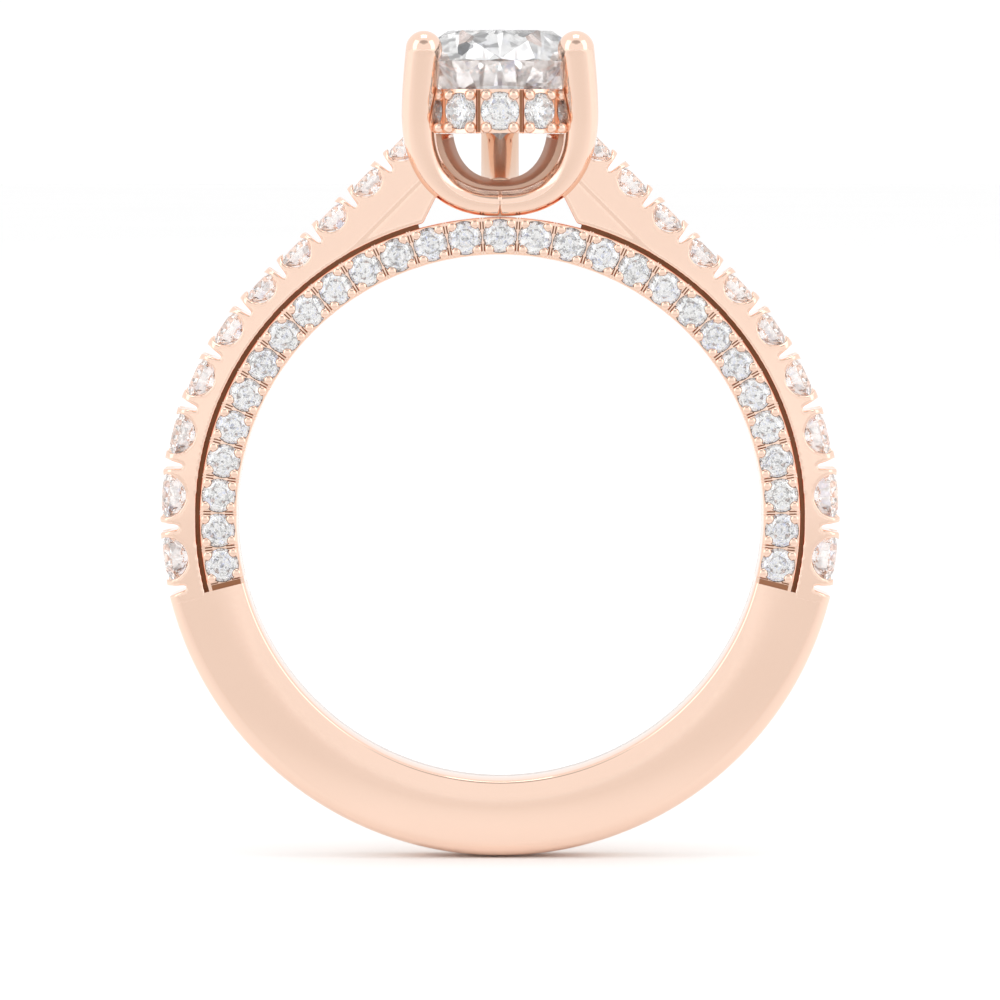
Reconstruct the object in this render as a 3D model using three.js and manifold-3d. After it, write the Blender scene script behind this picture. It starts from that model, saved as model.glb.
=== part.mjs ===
// Diamond engagement ring: a pear-shaped centre stone held by three claws over a hidden halo, on a
// scallop-set band whose inner arch carries a row of diamonds on each side face (the gallery).
// Millimetres. The finger passes along Y, +Z points to the centre stone, and the round end of the
// pear faces -Y. The origin is the centre of the finger hole.
import * as THREE from 'three';
import { mergeVertices } from 'three/addons/utils/BufferGeometryUtils.js';
import Module from 'manifold-3d';

const wasm = await Module();
wasm.setup();

// ---------------------------------------------------------------- driving dimensions (mm, degrees)
const FINGER_DIAMETER = 16.5;
const BAND_WIDTH = 1.8;
const BAND_CHAMFER = 0.14;
const JOINT_GAP = 0.02; // between soldered or seated faces

// Gallery arch: the inner rail, free under the head.
const GALLERY_STONES = 29; // on each side face
const GALLERY_STONE_DIAMETER = 1.04;
const GALLERY_STONE_SPACING = 0.056;
const GALLERY_GIRDLE_DEPTH = 0.1; // girdle below the side face
const ARCH_MARGIN = 0.06; // metal above and below the row
const ARCH_GROOVE = 0.16; // open groove between the arch and the band
const TONGUE_WIDTH = 0.7; // rib that joins the arch to the band behind the groove

// Band stones: small on the shoulders, larger down the sides.
const BAND_STONES = 10; // on each side
const FIRST_STONE_OFFSET = 0.59; // from the end of the shoulder
const SHOULDER_PITCH = 1.565;
const SHOULDER_PITCHES = 4; // how many keep that pitch
const PITCH_GROWTH = 0.1;
const SIDE_PITCH = 1.965;
const BAND_STONE_SPACING = 0.22;
const BAND_GIRDLE_DEPTH = 0.3; // girdle below the claw tips
const SCALLOP_WIDTH = 0.95;
const SCALLOP_FLOOR = 0.25; // metal between a scallop and the groove below it
const NOTCH_WIDTH = 0.32;
const NOTCH_RISE = 0.15; // foot of a notch above the foot of a scallop
const CULET_CLEARANCE = 0.067; // between the culets and the groove

// Shoulders
const SHOULDER_RISE = 3.21; // end of the shoulder above the arch
const SHOULDER_CLEARANCE = 0.13; // from the halo to the end of the shoulder
const SHOULDER_FOOT = 14.6; // degrees from the top, where the web of the shoulder starts
const WEB_RUN = 0.72; // slope of the end of the web, towards the head
const WEB_RISE = 1.39;

// Centre stone
const PEAR_HALF_WIDTH = 2.8;
const PEAR_ROUND_LENGTH = 2.95;
const PEAR_POINT_LENGTH = 4.6;
const PEAR_WING_POWER = 1.9;
const PEAR_MIDDLE_Y = -0.42; // widest line
const GIRDLE_RISE = 4.83; // above the arch
const GIRDLE_THICKNESS = 0.1;
const CROWN_HEIGHT = 0.95;
const PAVILION_DEPTH = 2.45;
const TABLE_SHARE = 0.58;
const CULET_SHARE = 0.02;

// Front prongs: the two halves of a U.
const PRONG_WIDTH = 1.09;
const PRONG_DEPTH = 1.05;
const PRONG_CHAMFER = 0.2;
const PRONG_INSET = 0.285; // of the centre line of each arm inside the widest line of the pear
const PRONG_CLOSING = 0.17; // how far each arm closes in towards its tip
const PRONG_OUTSET = 0.25; // tip centre outside the girdle
const PRONG_TIP_RISE = 0.97; // tip above the girdle
const PRONG_FOOT_INSET = 0.4; // of its middle behind the front face of the band
const U_BEND_RISE = 3.07; // start of the bend above the arch
const U_FLOOR_RISE = 0.87; // inside of the bend above the arch
const U_OUTER_POWER = 2.5; // squareness of the bend, outside and inside
const U_INNER_POWER = 2.3;

// Point prong
const POINT_PRONG_WIDTH = 1.15;
const POINT_PRONG_DEPTH = 0.9;
const POINT_PRONG_FOOT_INSET = 0.15; // in front of the back face of the band
const POINT_PRONG_FOOT_RISE = 0.75;
const POINT_PRONG_BELLY_RISE = 1.8;

// Cradle: the U-shaped seat between the shoulders.
const CRADLE_WALL = 0.9;
const CRADLE_FLOOR_RISE = 1.12;

// Hidden halo
const HALO_INSET = 0.48; // inside the outline of the pear
const HALO_HEIGHT = 1.35;
const HALO_DROP = 2.23; // from the girdle of the centre stone to the foot of the halo
const HALO_WALL = 0.42;
const HALO_STONES_PER_WING = 6; // and one at the front
const HALO_PITCH = 1.29;
const HALO_PITCH_DROP = 0.055;
const HALO_STONE_SPACING = 0.12;
const HALO_GIRDLE_DEPTH = 0.06;

// Round brilliants, as shares of the girdle diameter
const ROUND_CROWN = 0.15;
const ROUND_PAVILION = 0.42;
const ROUND_TABLE = 0.56;
const BAND_STONE_SIDES = 8;
const SMALL_STONE_SIDES = 6;
const SEAT_MOUTH = 1.2; // how far a seat is opened above the girdle

const STONE_ROOM = 4 * JOINT_GAP; // how much wider than a halo stone the room left for it by a prong is

// Fineness of the curves
const SLOT_STEPS = 4;
const TIP_STEPS = 6;
const BEND_STEPS = 9;
const PRONG_STEPS = 8;
const PEAR_STEPS = 24;
const BAND_STEPS = 34;
const POCKET_STEPS = 22;
const BORE_STEPS = 18;
const ARCH_STEPS = 44;

// ---------------------------------------------------------------- derived sizes
// The pitch from band stone i to the next, and the size of stone i.
function pitchAfter(i) {
  const steps = Math.max(0, i + 1 - SHOULDER_PITCHES);
  return Math.min(SIDE_PITCH, SHOULDER_PITCH + PITCH_GROWTH * steps);
}

function bandDiameter(i) {
  return pitchAfter(Math.max(0, i - 1)) - BAND_STONE_SPACING;
}

const BORE_RADIUS = FINGER_DIAMETER / 2;
const ARCH_RADIUS = BORE_RADIUS + GALLERY_STONE_DIAMETER + 2 * ARCH_MARGIN;
const GALLERY_RADIUS = (BORE_RADIUS + ARCH_RADIUS) / 2;
const GALLERY_CORNER_DIAMETER = GALLERY_STONE_DIAMETER + GALLERY_STONE_SPACING + JOINT_GAP;
const GALLERY_STEP = (GALLERY_STONE_DIAMETER + GALLERY_STONE_SPACING) / GALLERY_RADIUS;
const ARCH_HALF_ANGLE = THREE.MathUtils.radToDeg(GALLERY_STEP) * (GALLERY_STONES / 2);
const POCKET_RADIUS = ARCH_RADIUS + ARCH_GROOVE;
const POCKET_HALF_ANGLE = ARCH_HALF_ANGLE + THREE.MathUtils.radToDeg(ARCH_GROOVE / GALLERY_RADIUS);
const LARGEST_BAND_STONE = bandDiameter(BAND_STONES - 1);
const BAND_LAYER = BAND_GIRDLE_DEPTH + ROUND_PAVILION * LARGEST_BAND_STONE + CULET_CLEARANCE;
const BAND_RADIUS = POCKET_RADIUS + BAND_LAYER;
const SCALLOP_DEPTH = BAND_LAYER - SCALLOP_FLOOR;
const NOTCH_DEPTH = SCALLOP_DEPTH - NOTCH_RISE;
const PRONG_FOOT_Y = PRONG_FOOT_INSET - BAND_WIDTH / 2;
const HEAD_BASE = ARCH_RADIUS + JOINT_GAP;
const GIRDLE_Z = HEAD_BASE + GIRDLE_RISE;
const U_BEND_Z = HEAD_BASE + U_BEND_RISE;
const PRONG_TOP_Z = GIRDLE_Z + PRONG_TIP_RISE;
const ARM_X = PEAR_HALF_WIDTH - PRONG_INSET;
const SHOULDER_END = PEAR_HALF_WIDTH - HALO_INSET + SHOULDER_CLEARANCE;
const SHOULDER_TOP = HEAD_BASE + SHOULDER_RISE;
const SHOULDER_REACH = Math.hypot(SHOULDER_END, SHOULDER_TOP);
const SHOULDER_ANGLE = Math.atan2(SHOULDER_END, SHOULDER_TOP) + Math.acos(BAND_RADIUS / SHOULDER_REACH);
const HALO_BOTTOM = GIRDLE_Z - HALO_DROP;

const rad = THREE.MathUtils.degToRad;
const deg = THREE.MathUtils.radToDeg;
const point = (x, z) => new THREE.Vector2(x, z);

// ---------------------------------------------------------------- materials
const gold = (color) => new THREE.MeshStandardMaterial({ color, roughness: 0.12, metalness: 1 });
const diamond = (color) => new THREE.MeshStandardMaterial({ color, roughness: 0.02, metalness: 0 });
const ROSE_GOLD = gold(0xf6cdb4);
const ROSE_GOLD_SHADE = gold(0xeabb9d);
const WHITE_DIAMOND = diamond(0xf4f6fa);

// ---------------------------------------------------------------- solids
function toSolid(geometry) {
  const bare = geometry.clone();
  bare.deleteAttribute('normal');
  bare.deleteAttribute('uv');
  const merged = mergeVertices(bare, 1e-5);
  const index = merged.index.array;
  const triangles = [];
  for (let i = 0; i < index.length; i += 3) {
    const [a, b, c] = index.slice(i, i + 3);
    if (a !== b && b !== c && c !== a) triangles.push(a, b, c);
  }
  const vertProperties = Float32Array.from(merged.attributes.position.array);
  const triVerts = Uint32Array.from(triangles);
  return new wasm.Manifold(new wasm.Mesh({ numProp: 3, vertProperties, triVerts }));
}

function named(name, solid, material) {
  const { vertProperties, triVerts } = solid.getMesh();
  const geometry = new THREE.BufferGeometry();
  geometry.setAttribute('position', new THREE.BufferAttribute(vertProperties, 3));
  geometry.setIndex(new THREE.BufferAttribute(triVerts, 1));
  geometry.computeVertexNormals();
  const mesh = new THREE.Mesh(geometry, material);
  mesh.name = name;
  return mesh;
}

const join = (solids) => solids.reduce((whole, solid) => whole.add(solid));
const cut = (solid, tools) => tools.reduce((rest, tool) => rest.subtract(tool), solid);

// An outline drawn in the XZ plane, made width thick and centred on y = 0.
function slab(outline, width, chamfer = 0) {
  const geometry = new THREE.ExtrudeGeometry(new THREE.Shape(outline), {
    depth: width - 2 * chamfer,
    bevelEnabled: chamfer > 0,
    bevelThickness: chamfer,
    bevelSize: chamfer,
    bevelOffset: -chamfer,
    bevelSegments: 1,
  });
  return geometry.translate(0, 0, chamfer - width / 2).rotateX(Math.PI / 2);
}

// Points on a circle about the origin, by degrees from +Z towards +X.
function arc(radius, from, to, steps) {
  return Array.from({ length: steps + 1 }, (_, i) => {
    const angle = rad(from + ((to - from) * i) / steps);
    return point(radius * Math.sin(angle), radius * Math.cos(angle));
  });
}

const mirrored = (outline) => outline.map((p) => point(-p.x, p.y)).reverse();

function ringSector(inner, outer, from, to, steps) {
  return [...arc(outer, from, to, steps), ...arc(inner, to, from, steps)];
}

// ---------------------------------------------------------------- round brilliants and their seats
function roundBrilliant(diameter, sides) {
  const girdle = diameter / 2;
  const profile = [
    point(0, -diameter * ROUND_PAVILION),
    point(girdle, 0),
    point(girdle * ROUND_TABLE, diameter * ROUND_CROWN),
    point(0, diameter * ROUND_CROWN),
  ];
  return new THREE.LatheGeometry(profile, sides);
}

function roundSeat(diameter, sides) {
  const girdle = diameter / 2 + JOINT_GAP;
  const profile = [
    point(0, -diameter * ROUND_PAVILION - JOINT_GAP),
    point(girdle, 0),
    point(girdle, SEAT_MOUTH),
    point(0, SEAT_MOUTH),
  ];
  return new THREE.LatheGeometry(profile, sides);
}

// Turns a shape whose axis is +Y to face along direction, with its girdle at place.
function aim(geometry, { place, direction }) {
  const turn = new THREE.Quaternion().setFromUnitVectors(new THREE.Vector3(0, 1, 0), direction);
  return geometry.applyQuaternion(turn).translate(place.x, place.y, place.z);
}

// ---------------------------------------------------------------- the line that the band stones follow
// A length is measured from the first stone, down the straight shoulder and then round the circle.
function bandLine(length) {
  const radius = BAND_RADIUS - BAND_GIRDLE_DEPTH;
  const firstX = SHOULDER_END + FIRST_STONE_OFFSET;
  const straight = (radius * Math.sin(SHOULDER_ANGLE) - firstX) / Math.cos(SHOULDER_ANGLE);
  const angle = SHOULDER_ANGLE + Math.max(0, length - straight) / radius;
  const back = Math.max(0, straight - length);
  const x = radius * Math.sin(angle) - back * Math.cos(angle);
  const z = radius * Math.cos(angle) + back * Math.sin(angle);
  return { x, z, angle };
}

function bandSite(length, side) {
  const { x, z, angle } = bandLine(length);
  const place = new THREE.Vector3(side * x, 0, z);
  const direction = new THREE.Vector3(side * Math.sin(angle), 0, Math.cos(angle));
  return { place, direction };
}

const BAND_LENGTHS = [0];
for (let i = 0; i < BAND_STONES - 1; i += 1) BAND_LENGTHS.push(BAND_LENGTHS[i] + pitchAfter(i));

// A slot cut straight across the band at length: width wide, round at the bottom, depth below the tips.
function crossSlot(length, width, depth, side) {
  const { x, z, angle } = bandLine(length);
  const radius = width / 2;
  const outline = [point(radius, SEAT_MOUTH)];
  for (let i = 0; i <= SLOT_STEPS; i += 1) {
    const turn = (Math.PI * i) / SLOT_STEPS;
    outline.push(point(radius * Math.cos(turn), radius - depth - radius * Math.sin(turn)));
  }
  outline.push(point(-radius, SEAT_MOUTH));
  const geometry = slab(outline, 2 * BAND_WIDTH).translate(0, 0, BAND_GIRDLE_DEPTH);
  return toSolid(geometry.rotateY(side * angle).translate(side * x, 0, z));
}

// ---------------------------------------------------------------- pear outlines
// The right half, from the middle of the round end to the point, moved inwards by inset.
function pearHalf(inset) {
  const edge = (t) => {
    if (t < 1) {
      const turn = (Math.PI / 2) * t;
      return point(PEAR_HALF_WIDTH * Math.sin(turn), -PEAR_ROUND_LENGTH * Math.cos(turn));
    }
    const share = t - 1;
    return point(PEAR_HALF_WIDTH * (1 - share ** PEAR_WING_POWER), PEAR_POINT_LENGTH * share);
  };
  const nearby = 1e-3;
  const half = [];
  for (let i = 0; i <= PEAR_STEPS; i += 1) {
    const t = (2 * i) / PEAR_STEPS;
    const along = edge(Math.min(2, t + nearby)).sub(edge(Math.max(0, t - nearby))).normalize();
    half.push(edge(t).add(point(-along.y, along.x).multiplyScalar(inset)));
  }
  half[0].x = 0;
  const kept = half.filter((p, i) => i === 0 || p.x > 0);
  const last = kept.at(-1);
  const next = half[kept.length] ?? half.at(-1);
  const share = last.x / (last.x - next.x || 1);
  if (kept.length < half.length) kept.push(point(0, last.y + (next.y - last.y) * share));
  return kept.map((p) => point(p.x, p.y + PEAR_MIDDLE_Y));
}

function pearLoop(inset) {
  const half = pearHalf(inset);
  return [...half, ...mirrored(half).slice(1, -1)];
}

// A pear-shaped solid made of levels, each with a height and a share of the full outline.
function pearLevels(levels, grow) {
  const geometry = new THREE.ExtrudeGeometry(new THREE.Shape(pearLoop(-grow)), {
    depth: levels.length - 1,
    steps: levels.length - 1,
    bevelEnabled: false,
  });
  const position = geometry.attributes.position;
  for (let i = 0; i < position.count; i += 1) {
    const level = levels[Math.round(position.getZ(i))];
    const x = position.getX(i) * level.share;
    const y = PEAR_MIDDLE_Y + (position.getY(i) - PEAR_MIDDLE_Y) * level.share;
    position.setXYZ(i, x, y, level.z);
  }
  return toSolid(geometry);
}

function centreStone(grow) {
  return pearLevels([
    { z: GIRDLE_Z - PAVILION_DEPTH - grow, share: CULET_SHARE },
    { z: GIRDLE_Z - GIRDLE_THICKNESS / 2 - grow, share: 1 },
    { z: GIRDLE_Z + GIRDLE_THICKNESS / 2 + grow, share: 1 },
    { z: GIRDLE_Z + CROWN_HEIGHT + grow, share: TABLE_SHARE },
  ], grow);
}

// ---------------------------------------------------------------- the head
// Half of a U bend, from the middle of its floor to the start of its arm.
function bend(halfWidth, depth, power) {
  return Array.from({ length: BEND_STEPS + 1 }, (_, i) => {
    const turn = (Math.PI / 2) * (1 - i / BEND_STEPS);
    const x = halfWidth * Math.abs(Math.cos(turn)) ** (2 / power);
    return point(i === 0 ? 0 : x, U_BEND_Z - depth * Math.sin(turn) ** (2 / power));
  });
}

function frontProng(side, grow) {
  const half = PRONG_WIDTH / 2;
  const outer = bend(ARM_X + half + grow, U_BEND_RISE + grow, U_OUTER_POWER);
  const inner = bend(ARM_X - half - grow, U_BEND_RISE - U_FLOOR_RISE - grow, U_INNER_POWER);
  const tip = arc(half + grow, 90, -90, TIP_STEPS);
  tip.forEach((p) => p.add(point(ARM_X - PRONG_CLOSING, PRONG_TOP_Z - half)));
  const seam = grow > 0 ? -grow : JOINT_GAP / 2;
  outer[0].x = seam;
  inner[0].x = seam;
  const outline = [...outer, ...tip, ...inner.reverse()].map((p) => point(side * p.x, p.y));
  const geometry = slab(outline, PRONG_DEPTH + 2 * grow, grow > 0 ? 0 : PRONG_CHAMFER);
  const tipX = ARM_X - PRONG_CLOSING;
  const girdleY = PEAR_ROUND_LENGTH * Math.sqrt(1 - (tipX / PEAR_HALF_WIDTH) ** 2);
  const tipY = PEAR_MIDDLE_Y - girdleY - PRONG_OUTSET;
  const lean = (tipY - PRONG_FOOT_Y) / (GIRDLE_Z - HEAD_BASE);
  const position = geometry.attributes.position;
  for (let i = 0; i < position.count; i += 1) {
    const rise = position.getZ(i) - HEAD_BASE;
    position.setY(i, position.getY(i) + PRONG_FOOT_Y + lean * rise);
  }
  return toSolid(geometry);
}

// A curved bar in the middle plane, from the back of the cradle to the point of the pear.
function pointProng(grow) {
  const tipY = PEAR_MIDDLE_Y + PEAR_POINT_LENGTH;
  const radius = POINT_PRONG_DEPTH / 2 + grow;
  const foot = point(BAND_WIDTH / 2 - POINT_PRONG_FOOT_INSET - grow, HEAD_BASE + POINT_PRONG_FOOT_RISE);
  const belly = point(tipY, HEAD_BASE + POINT_PRONG_BELLY_RISE);
  const tip = point(tipY, PRONG_TOP_Z - POINT_PRONG_DEPTH / 2);
  const line = new THREE.QuadraticBezierCurve(foot, belly, tip);
  const sideOf = (sign) => Array.from({ length: PRONG_STEPS + 1 }, (_, i) => {
    const along = line.getTangent(i / PRONG_STEPS);
    return line.getPoint(i / PRONG_STEPS).add(point(along.y, -along.x).multiplyScalar(sign * radius));
  });
  const cap = arc(radius, 60, -60, TIP_STEPS).map((p) => p.add(tip));
  const outline = [...sideOf(1), ...cap, ...sideOf(-1).reverse()];
  const chamfer = grow > 0 ? 0 : PRONG_CHAMFER;
  const geometry = slab(outline, POINT_PRONG_WIDTH + 2 * grow, chamfer);
  return toSolid(geometry.rotateZ(Math.PI / 2));
}

// The room that the head takes between the shoulders.
function headRoom() {
  const halfWidth = SHOULDER_END;
  const side = [...bend(halfWidth, U_BEND_RISE + JOINT_GAP, U_OUTER_POWER), point(halfWidth, PRONG_TOP_Z)];
  return toSolid(slab([...mirrored(side).slice(0, -1), ...side], 2 * BAND_WIDTH));
}

function cradle() {
  const halfWidth = SHOULDER_END - JOINT_GAP;
  const outer = bend(halfWidth, U_BEND_RISE, U_OUTER_POWER);
  const inner = bend(halfWidth - CRADLE_WALL, U_BEND_RISE - CRADLE_FLOOR_RISE, U_INNER_POWER).reverse();
  const outline = [...outer, ...inner];
  const half = toSolid(slab(outline, BAND_WIDTH, BAND_CHAMFER / 2));
  const otherHalf = toSolid(slab(mirrored(outline), BAND_WIDTH, BAND_CHAMFER / 2));
  const size = 4 * PEAR_HALF_WIDTH;
  const above = new THREE.BoxGeometry(size, size, size);
  above.translate(0, 0, HALO_BOTTOM - JOINT_GAP + size / 2);
  return half.add(otherHalf).subtract(toSolid(above));
}

// ---------------------------------------------------------------- the halo
function haloSites() {
  const half = pearHalf(HALO_INSET + HALO_GIRDLE_DEPTH);
  const z = HALO_BOTTOM + HALO_HEIGHT / 2;
  const sites = [];
  let travelled = 0;
  let pitch = HALO_PITCH;
  for (let i = 0; i <= HALO_STONES_PER_WING; i += 1) {
    let left = travelled;
    let k = 0;
    while (k < half.length - 2 && left > half[k].distanceTo(half[k + 1])) {
      left -= half[k].distanceTo(half[k + 1]);
      k += 1;
    }
    const along = half[k + 1].clone().sub(half[k]).normalize();
    const spot = half[k].clone().addScaledVector(along, left);
    const out = i === 0 ? point(0, -1) : point(along.y, -along.x);
    for (const side of i === 0 ? [1] : [1, -1]) {
      const place = new THREE.Vector3(side * spot.x, spot.y, z);
      const direction = new THREE.Vector3(side * out.x, out.y, 0);
      sites.push({ place, direction, diameter: pitch - HALO_STONE_SPACING });
    }
    travelled += pitch;
    pitch -= HALO_PITCH_DROP;
  }
  return sites;
}

function haloRail(sites) {
  const ring = new THREE.Shape(pearLoop(HALO_INSET));
  ring.holes.push(new THREE.Path(pearLoop(HALO_INSET + HALO_WALL).reverse()));
  const geometry = new THREE.ExtrudeGeometry(ring, { depth: HALO_HEIGHT, bevelEnabled: false });
  const seats = sites.map((site) => toSolid(aim(roundSeat(site.diameter, SMALL_STONE_SIDES), site)));
  const prongs = [frontProng(1, JOINT_GAP), frontProng(-1, JOINT_GAP), pointProng(JOINT_GAP)];
  const rail = toSolid(geometry.translate(0, 0, HALO_BOTTOM));
  return cut(rail, [...seats, ...prongs, centreStone(JOINT_GAP)]);
}

// ---------------------------------------------------------------- the gallery arch and its stones
// The stones of a row touch corner to corner, so that the row is one solid.
function galleryRow(face, shape) {
  const stones = Array.from({ length: GALLERY_STONES }, (_, i) => {
    const angle = (i - (GALLERY_STONES - 1) / 2) * GALLERY_STEP;
    const x = GALLERY_RADIUS * Math.sin(angle);
    const z = GALLERY_RADIUS * Math.cos(angle);
    const place = new THREE.Vector3(x, face * (BAND_WIDTH / 2 - GALLERY_GIRDLE_DEPTH), z);
    const geometry = shape(GALLERY_CORNER_DIAMETER, SMALL_STONE_SIDES);
    geometry.rotateY(face * (angle + Math.PI / 2));
    return toSolid(aim(geometry, { place, direction: new THREE.Vector3(0, face, 0) }));
  });
  return join(stones);
}

function galleryArch() {
  const rail = ringSector(BORE_RADIUS, ARCH_RADIUS, -ARCH_HALF_ANGLE, ARCH_HALF_ANGLE, ARCH_STEPS);
  const end = POCKET_HALF_ANGLE - deg(JOINT_GAP / GALLERY_RADIUS);
  const tongues = [1, -1].map((side) => {
    const foot = side * (SHOULDER_FOOT + deg(ARCH_GROOVE / GALLERY_RADIUS));
    const top = POCKET_RADIUS - JOINT_GAP;
    const outline = ringSector(GALLERY_RADIUS, top, foot, side * end, POCKET_STEPS);
    const turned = side > 0 ? outline : outline.reverse();
    return toSolid(slab(turned, TONGUE_WIDTH));
  });
  const whole = join([toSolid(slab(rail, BAND_WIDTH)), ...tongues]);
  return cut(whole, [galleryRow(1, roundSeat), galleryRow(-1, roundSeat)]);
}

// ---------------------------------------------------------------- the shank with its cathedral shoulders
function shankBlank() {
  const crown = arc(BAND_RADIUS, deg(SHOULDER_ANGLE), 180, BAND_STEPS);
  const outer = [point(SHOULDER_END, SHOULDER_TOP), ...crown];
  const pocket = arc(POCKET_RADIUS, SHOULDER_FOOT, POCKET_HALF_ANGLE, POCKET_STEPS);
  const bore = arc(BORE_RADIUS, POCKET_HALF_ANGLE, 180, BORE_STEPS);
  const web = pocket[0].clone().add(point(-WEB_RUN, WEB_RISE));
  const inner = [web, ...pocket, ...bore];
  const leftInner = inner.map((p) => point(-p.x, p.y));
  const outline = [...outer, ...mirrored(outer).slice(1), ...leftInner, ...inner.reverse().slice(1)];
  return toSolid(slab(outline, BAND_WIDTH, BAND_CHAMFER));
}

function shank() {
  const tools = [headRoom(), frontProng(1, JOINT_GAP), frontProng(-1, JOINT_GAP)];
  for (const side of [1, -1]) {
    BAND_LENGTHS.forEach((length, i) => {
      const seat = aim(roundSeat(bandDiameter(i), BAND_STONE_SIDES), bandSite(length, side));
      tools.push(toSolid(seat));
      tools.push(crossSlot(length, SCALLOP_WIDTH, SCALLOP_DEPTH, side));
      tools.push(crossSlot(length + pitchAfter(i) / 2, NOTCH_WIDTH, NOTCH_DEPTH, side));
    });
  }
  return cut(shankBlank(), tools);
}

// ---------------------------------------------------------------- assembly
const ring = new THREE.Group();
const twoDigits = (i) => String(i).padStart(2, '0');

const metal = new THREE.Group();
const pearRoom = centreStone(JOINT_GAP);
const prongRooms = [frontProng(1, JOINT_GAP), frontProng(-1, JOINT_GAP), pointProng(JOINT_GAP)];
metal.add(named('shank', shank(), ROSE_GOLD));
metal.add(named('gallery_arch', galleryArch(), ROSE_GOLD_SHADE));
metal.add(named('head_cradle', cut(cradle(), prongRooms), ROSE_GOLD_SHADE));
const sites = haloSites();
const stoneRooms = sites.map((site) =>
  toSolid(aim(roundBrilliant(site.diameter + STONE_ROOM, SMALL_STONE_SIDES), site)));
const prongTools = [pearRoom, ...stoneRooms];
metal.add(named('front_prong_left', cut(frontProng(-1, 0), prongTools), ROSE_GOLD));
metal.add(named('front_prong_right', cut(frontProng(1, 0), prongTools), ROSE_GOLD));
metal.add(named('point_prong', cut(pointProng(0), prongTools), ROSE_GOLD));
metal.add(named('halo_rail', haloRail(sites), ROSE_GOLD_SHADE));
ring.add(metal);

const stones = new THREE.Group();
stones.add(named('centre_stone', centreStone(0), WHITE_DIAMOND));
sites.forEach((site, i) => {
  const stone = toSolid(aim(roundBrilliant(site.diameter, SMALL_STONE_SIDES), site));
  stones.add(named(`halo_stone_${twoDigits(i + 1)}`, stone, WHITE_DIAMOND));
});
for (const [word, side] of [['left', -1], ['right', 1]]) {
  BAND_LENGTHS.forEach((length, i) => {
    const stone = toSolid(aim(roundBrilliant(bandDiameter(i), BAND_STONE_SIDES), bandSite(length, side)));
    stones.add(named(`band_stone_${word}_${twoDigits(i + 1)}`, stone, WHITE_DIAMOND));
  });
}
stones.add(named('gallery_stones_front', galleryRow(-1, roundBrilliant), WHITE_DIAMOND));
stones.add(named('gallery_stones_back', galleryRow(1, roundBrilliant), WHITE_DIAMOND));
ring.add(stones);

export default ring;
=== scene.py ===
"""The look of the pear-shaped engagement ring: rose gold and diamonds in a white studio."""

import math

import bmesh
import bpy
from mathutils import Matrix, Vector


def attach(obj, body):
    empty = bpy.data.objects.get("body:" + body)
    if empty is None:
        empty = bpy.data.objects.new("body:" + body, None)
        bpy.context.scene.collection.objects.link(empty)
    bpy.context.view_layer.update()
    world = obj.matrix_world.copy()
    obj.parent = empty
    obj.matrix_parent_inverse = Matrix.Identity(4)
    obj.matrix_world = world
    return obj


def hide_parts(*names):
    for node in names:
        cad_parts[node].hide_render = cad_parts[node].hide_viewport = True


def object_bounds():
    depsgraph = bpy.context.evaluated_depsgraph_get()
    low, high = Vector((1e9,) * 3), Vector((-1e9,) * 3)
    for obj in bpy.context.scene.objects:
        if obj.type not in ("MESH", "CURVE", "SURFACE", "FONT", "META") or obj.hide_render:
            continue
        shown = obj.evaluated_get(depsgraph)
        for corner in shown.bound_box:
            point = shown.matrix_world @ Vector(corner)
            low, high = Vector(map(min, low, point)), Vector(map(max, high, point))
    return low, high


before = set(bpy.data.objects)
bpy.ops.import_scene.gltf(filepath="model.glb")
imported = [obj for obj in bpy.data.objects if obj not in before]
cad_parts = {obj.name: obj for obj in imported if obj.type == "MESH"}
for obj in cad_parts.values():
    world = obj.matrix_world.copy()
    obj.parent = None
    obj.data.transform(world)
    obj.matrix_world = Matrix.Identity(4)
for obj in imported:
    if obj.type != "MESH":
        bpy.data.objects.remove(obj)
size_at_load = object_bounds()

# ------------------------------------------------------------ driving values (millimetres, degrees)
MM = 0.001
BORE_RADIUS = 8.25
ARCH_RADIUS = 9.41
ARCH_HALF_ANGLE = 103.12
GALLERY_RADIUS = 8.83
GALLERY_STEP = 7.112
GALLERY_STONES = 29
GALLERY_DIAMETER = 1.04
GALLERY_GIRDLE = 0.8
RAIL_ROUNDING = 0.07
RECESS_INSET = 0.12
RECESS_HALF_WIDTH = 0.8
GRAIN_ACROSS = 0.4
GRAIN_ALONG = 0.345
GRAIN_SIZE = 0.16
GRAIN_FLATNESS = 0.6
SLIT_SIZE = (0.042, 0.5, 0.36)
POCKET_RADIUS = 9.53
RIB_HALF_WIDTH = 0.15
BAND_RADIUS = 10.67
HALF_WIDTH = 0.9
SET_END_ANGLE = 105.2
PLAIN_START_ANGLE = 104.16
GIRDLE_DEPTH = 0.3
CLAW_PAIR = 0.82
RIM_ROUNDING = 0.4
SCALLOP_DEPTH = 0.74
SCALLOP_GROWTH = 0.2
SCALLOP_FOOT_SHARE = 0.78
NOTCH = (0.33, 0.16, 0.62)
LAST_PITCH = 1.965
CREASE_SUM = 13.03
WEB_HALF_WIDTH = 0.882
TOOL_REACH = 1.4
BAND_ROUNDS = 6
PLAIN_OUTER_ROUNDING = 0.42
PLAIN_INNER_ROUNDING = 0.14
PLAIN_SHARE = 0.996
SEAT_ROOM = 0.015
SEAT_DEPTH_SHARE = 0.46
STONE_SHRINK = 0.96
SHOULDER_ANGLE = 45
SHOULDER_END = (2.45, 12.64)
SHOULDER_FOOT = 14.6
WEB_TOP = (1.69, 10.65)
STONE_LENGTHS = (0, 1.565, 3.13, 4.695, 6.26, 7.925, 9.69, 11.555, 13.52, 15.485)
STONE_DIAMETERS = (1.345, 1.345, 1.345, 1.345, 1.345, 1.445, 1.545, 1.645, 1.745, 1.745)
FIRST_STONE_X = 3.04
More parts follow.
